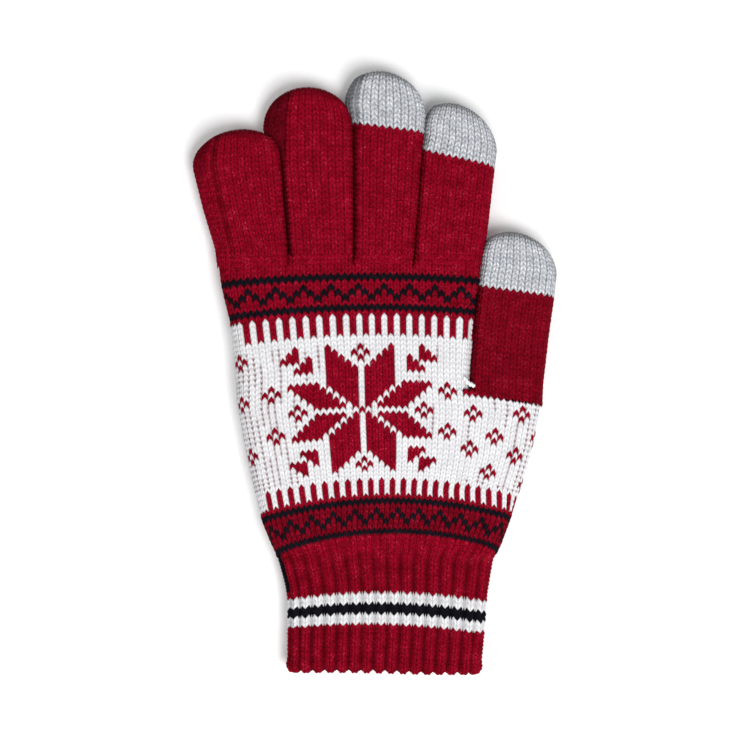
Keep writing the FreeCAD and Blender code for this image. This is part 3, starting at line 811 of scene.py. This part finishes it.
def finger_points(spec, root, c, r, lean):
    """Base points of a finger, a flattened tube that closes over its tip, and how much shade
    each lies in."""
    columns = spec["columns"]
    straight, total = finger_rows(spec, root)
    base, rise = spec["dome"]
    row = np.clip(r + lean * smooth(total, total - 1.5, r), None, total)
    under = c >= columns
    face = np.where(under, 2 * columns - c, c) / columns

    step = (base - root) / straight
    plain_y = root + np.clip(row, None, straight) * step
    sloping = np.maximum(smooth(root, root + 14, plain_y), spec.get("root_slope", 0.0))
    across = (face - 0.5) * 24  # from the finger's middle, near enough
    y = plain_y - spec["tilt"] * sloping * across
    half = curve(spec.get("halves", [(0, FINGER_HALF)]), y)
    left, right = curve(spec["left"], y), curve(spec["right"], y)
    bevel = curve(spec["bevel"], y)
    section = Section(left, right, half, bevel, spec["turn"] + 0 * y, wall=0.6)
    wall = spec["wall"]
    past = section.length - section.arc_left
    beyond_wall = section.arc_left + (face - wall) / (1 - wall) * past
    along = np.where(face < wall, face / wall * section.arc_left, beyond_wall)
    x, share = section.at(along)
    fold = np.exp(-(((along - section.arc_left + 0.4) / 0.8) ** 2))
    fold = fold * curve(spec["groove"], y)
    share = share - fold / half
    # some left walls lie low, in the shade of the finger before
    low_wall = spec.get("wall_shade", 0.0) * (1 - smooth(wall - 0.05, wall + 0.02, face))

    # the dome: side columns lean in and rows curve over, so that both end on its outline
    centre, wide = (left + right) / 2, (right - left) / 2
    u = np.clip((x - centre) / wide, -1, 1)
    beyond = np.clip(row - straight, 0, None) / (total - straight)
    flat = rise - RIM
    over = flat + rim_arc()
    distance = beyond * over
    angle = np.clip((over - distance) / rim_arc(), 0, 1) * np.pi / 2
    reached = np.clip(distance, 0, flat) + RIM * np.cos(angle) * (distance > flat)
    v = np.clip(reached / rise, 0, 1)
    x = centre + wide * u * np.sqrt(1 - v**2 / 2)
    y = y + rise * v * np.sqrt(1 - u**2 / 2)
    share = share * np.sin(angle)
    # the steep sides round the tip are in the shade
    shaded = (1 - smooth(0.4, 1.0, share)) * smooth(straight - 5, straight + 1, row)
    body = half - RELIEF
    crown = PUFF * (1 - u**2) * np.sin(angle)
    z = half + np.where(under, -1, 1) * (body * share) + np.where(under, 0, crown)
    # painted shade: the fold, the steep sides round the tip and the low left walls are painted
    # darker
    shade = np.clip(fold + shaded + np.where(under, 0, low_wall), 0, 1.5)
    return np.stack([x, y, z], axis=2), shade


def finger_part(finger, name, root, first, last, colour):
    spec = FINGERS[finger]
    columns = spec["columns"]
    total = finger_rows(spec, root)[1]
    c, r, lean = make_grid(2 * columns, first, last)
    points, shade = finger_points(spec, root, c, r, lean)
    flat_end = 1 - smooth(total - 0.6, total, r)
    height = bumps(c, r) * thicker(c, r)
    points = push_out(points, RELIEF * height * flat_end)
    yarn = np.full((2 * columns * ACROSS, (last - first) * UP), colour)
    # painted shade: a value below 1 paints the thumb's red darker, as shade where it lies away from
    # the light
    painted_light = spec.get("painted_light", 1.0) if colour == RED else 1.0
    return make_piece(name, points, yarn, painted_light * height * (1 - 0.6 * shade), closed=last == total)


def make_finger(finger):
    spec = FINGERS[finger]
    thumb = finger == "thumb"
    sections = ["base", "tip"] if thumb else ["base", "mid", "tip"]
    hinges = [hinge_y(finger + "_knuckle")]
    if not thumb:
        hinges.append(hinge_y(finger + "_middle_joint"))
    hinges.append(hinge_y(finger + "_end_joint"))
    # the first rows are tucked under the hand's last ones
    root = THUMB_ROOT if thumb else hinges[0] - (3.2 if finger == "pinky" else 4.6)
    total = finger_rows(spec, root)[1]
    step = (spec["dome"][0] - root) / finger_rows(spec, root)[0]

    def row_at(y):
        return int(round((y - root) / step))

    breaks = [0] + [row_at((a + b) / 2) for a, b in zip(hinges, hinges[1:])]
    end = row_at(spec["cap"]) if "cap" in spec else total
    breaks.append(end)
    for i, section in enumerate(sections):
        body = "%s_%s" % (finger, section)
        piece = finger_part(finger, body + "_knit", root, breaks[i], breaks[i + 1], RED)
        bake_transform(piece)
        nodes = [body]
        if section == "tip" and "cap" not in spec:
            nodes.append(finger + "_tip_knot")
        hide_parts(*nodes)
    if "cap" in spec:
        piece = finger_part(finger, finger + "_touch_knit", root, end, total, GREY)
        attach(piece, finger + "_tip")
        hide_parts(finger + "_touch_cap", finger + "_tip_knot")


for finger_name in FINGERS:
    make_finger(finger_name)

# ------------------------------------------------------------------ loose stitches at the crotch


def yarn_strand(name, route, radius, material):
    """A short twisted strand of yarn through a few places."""
    along, around = 40, 12
    places = np.array(route, float)
    steps = np.linspace(0, len(places) - 1, along)
    path = np.stack([np.interp(steps, range(len(places)), places[:, k]) for k in range(3)], axis=1)
    for _ in range(6):
        path[1:-1] = (path[:-2] + 2 * path[1:-1] + path[2:]) / 4
    forward = np.gradient(path, axis=0)
    forward /= np.linalg.norm(forward, axis=1, keepdims=True)
    side = np.cross(forward, (0, 0, 1.0))
    side /= np.linalg.norm(side, axis=1, keepdims=True)
    up = np.cross(side, forward)
    angles = np.arange(around) / around * 2 * np.pi
    ends = np.sqrt(np.clip(1 - (2 * np.linspace(0, 1, along) - 1) ** 6, 0, 1))
    rings = []
    for k in range(along):
        twist = angles + k * 0.35
        size = radius * ends[k] * (1 + 0.22 * np.cos(2 * twist)) + 1e-4
        across, over = np.cos(angles)[:, None] * side[k], np.sin(angles)[:, None] * up[k]
        rings.append(path[k] + size[:, None] * (across + over))
    vertices = np.concatenate(rings) * MM
    faces = []
    for ring in range(0, (along - 1) * around, around):
        for a in range(around):
            b = (a + 1) % around
            faces.append((ring + a, ring + b, ring + around + b, ring + around + a))
    faces.append(tuple(reversed(range(around))))
    faces.append(tuple(range((along - 1) * around, along * around)))
    mesh = bpy.data.meshes.new(name)
    mesh.from_pydata(vertices.tolist(), [], faces)
    mesh.materials.append(material)
    mesh.polygons.foreach_set("use_smooth", np.ones(len(faces), bool))
    piece = bpy.data.objects.new(name, mesh)
    bpy.context.scene.collection.objects.link(piece)
    return piece


top = 2 * HAND_HALF
strand = yarn_strand("thumb_crotch_stitch", [
    (THUMB_CROTCH[0] - 2.2, THUMB_CROTCH[1] + 3.0, top - 0.9),
    (THUMB_CROTCH[0] - 0.4, THUMB_CROTCH[1] + 0.6, top - 0.4),
    (THUMB_CROTCH[0] + 2.0, THUMB_CROTCH[1] - 0.6, top - 0.5),
], 0.75, YARNS[WHITE])
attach(strand, "hand")
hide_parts("crotch_stitches")

# ------------------------------------------------------------------ floor, light and camera


def add_floor():
    mesh = bpy.data.meshes.new("floor")
    reach = 3.0
    corners = [(-reach, -reach, 0), (reach, -reach, 0), (reach, reach, 0), (-reach, reach, 0)]
    mesh.from_pydata(corners, [], [(0, 1, 2, 3)])
    floor = bpy.data.objects.new("floor", mesh)
    bpy.context.scene.collection.objects.link(floor)
    material = bpy.data.materials.new("floor_paper")
    material.use_nodes = True
    shader = material.node_tree.nodes["Principled BSDF"]
    shader.inputs["Base Color"].default_value = (0.92, 0.92, 0.92, 1)
    shader.inputs["Roughness"].default_value = 0.9
    shader.inputs["Specular IOR Level"].default_value = 0.1
    shader.inputs["Emission Color"].default_value = (1, 1, 1, 1)
    shader.inputs["Emission Strength"].default_value = 0.08
    mesh.materials.append(material)
    floor.location.z = -0.0002  # a hair below the glove


def add_light(name, place, size, power):
    light = bpy.data.lights.new(name, "AREA")
    light.size = size
    light.energy = power
    lamp = bpy.data.objects.new(name, light)
    lamp.location = place
    lamp.rotation_euler = (-Vector(place)).to_track_quat("-Z", "Y").to_euler()
    bpy.context.scene.collection.objects.link(lamp)


def add_camera():
    camera = bpy.data.cameras.new("camera")
    camera.lens = 120
    camera.sensor_width = 36
    holder = bpy.data.objects.new("camera", camera)
    # straight above, and so far up that the picture is this wide at the glove's middle height
    picture_width, middle_height = 0.2625, 0.006
    distance = picture_width * camera.lens / camera.sensor_width
    holder.location = (0, 0, distance + middle_height)
    bpy.context.scene.collection.objects.link(holder)
    bpy.context.scene.camera = holder


add_floor()
add_light("key", (0.4, -0.5, 1.02), 0.7, 14.5)
add_light("fill", (-0.7, -0.1, 0.98), 1.2, 4.4)
world = bpy.data.worlds.new("studio")
world.use_nodes = True
world.node_tree.nodes["Background"].inputs["Color"].default_value = (1, 1, 1, 1)
world.node_tree.nodes["Background"].inputs["Strength"].default_value = 0.27
bpy.context.scene.world = world
bpy.context.scene.view_settings.view_transform = "Standard"
add_camera()
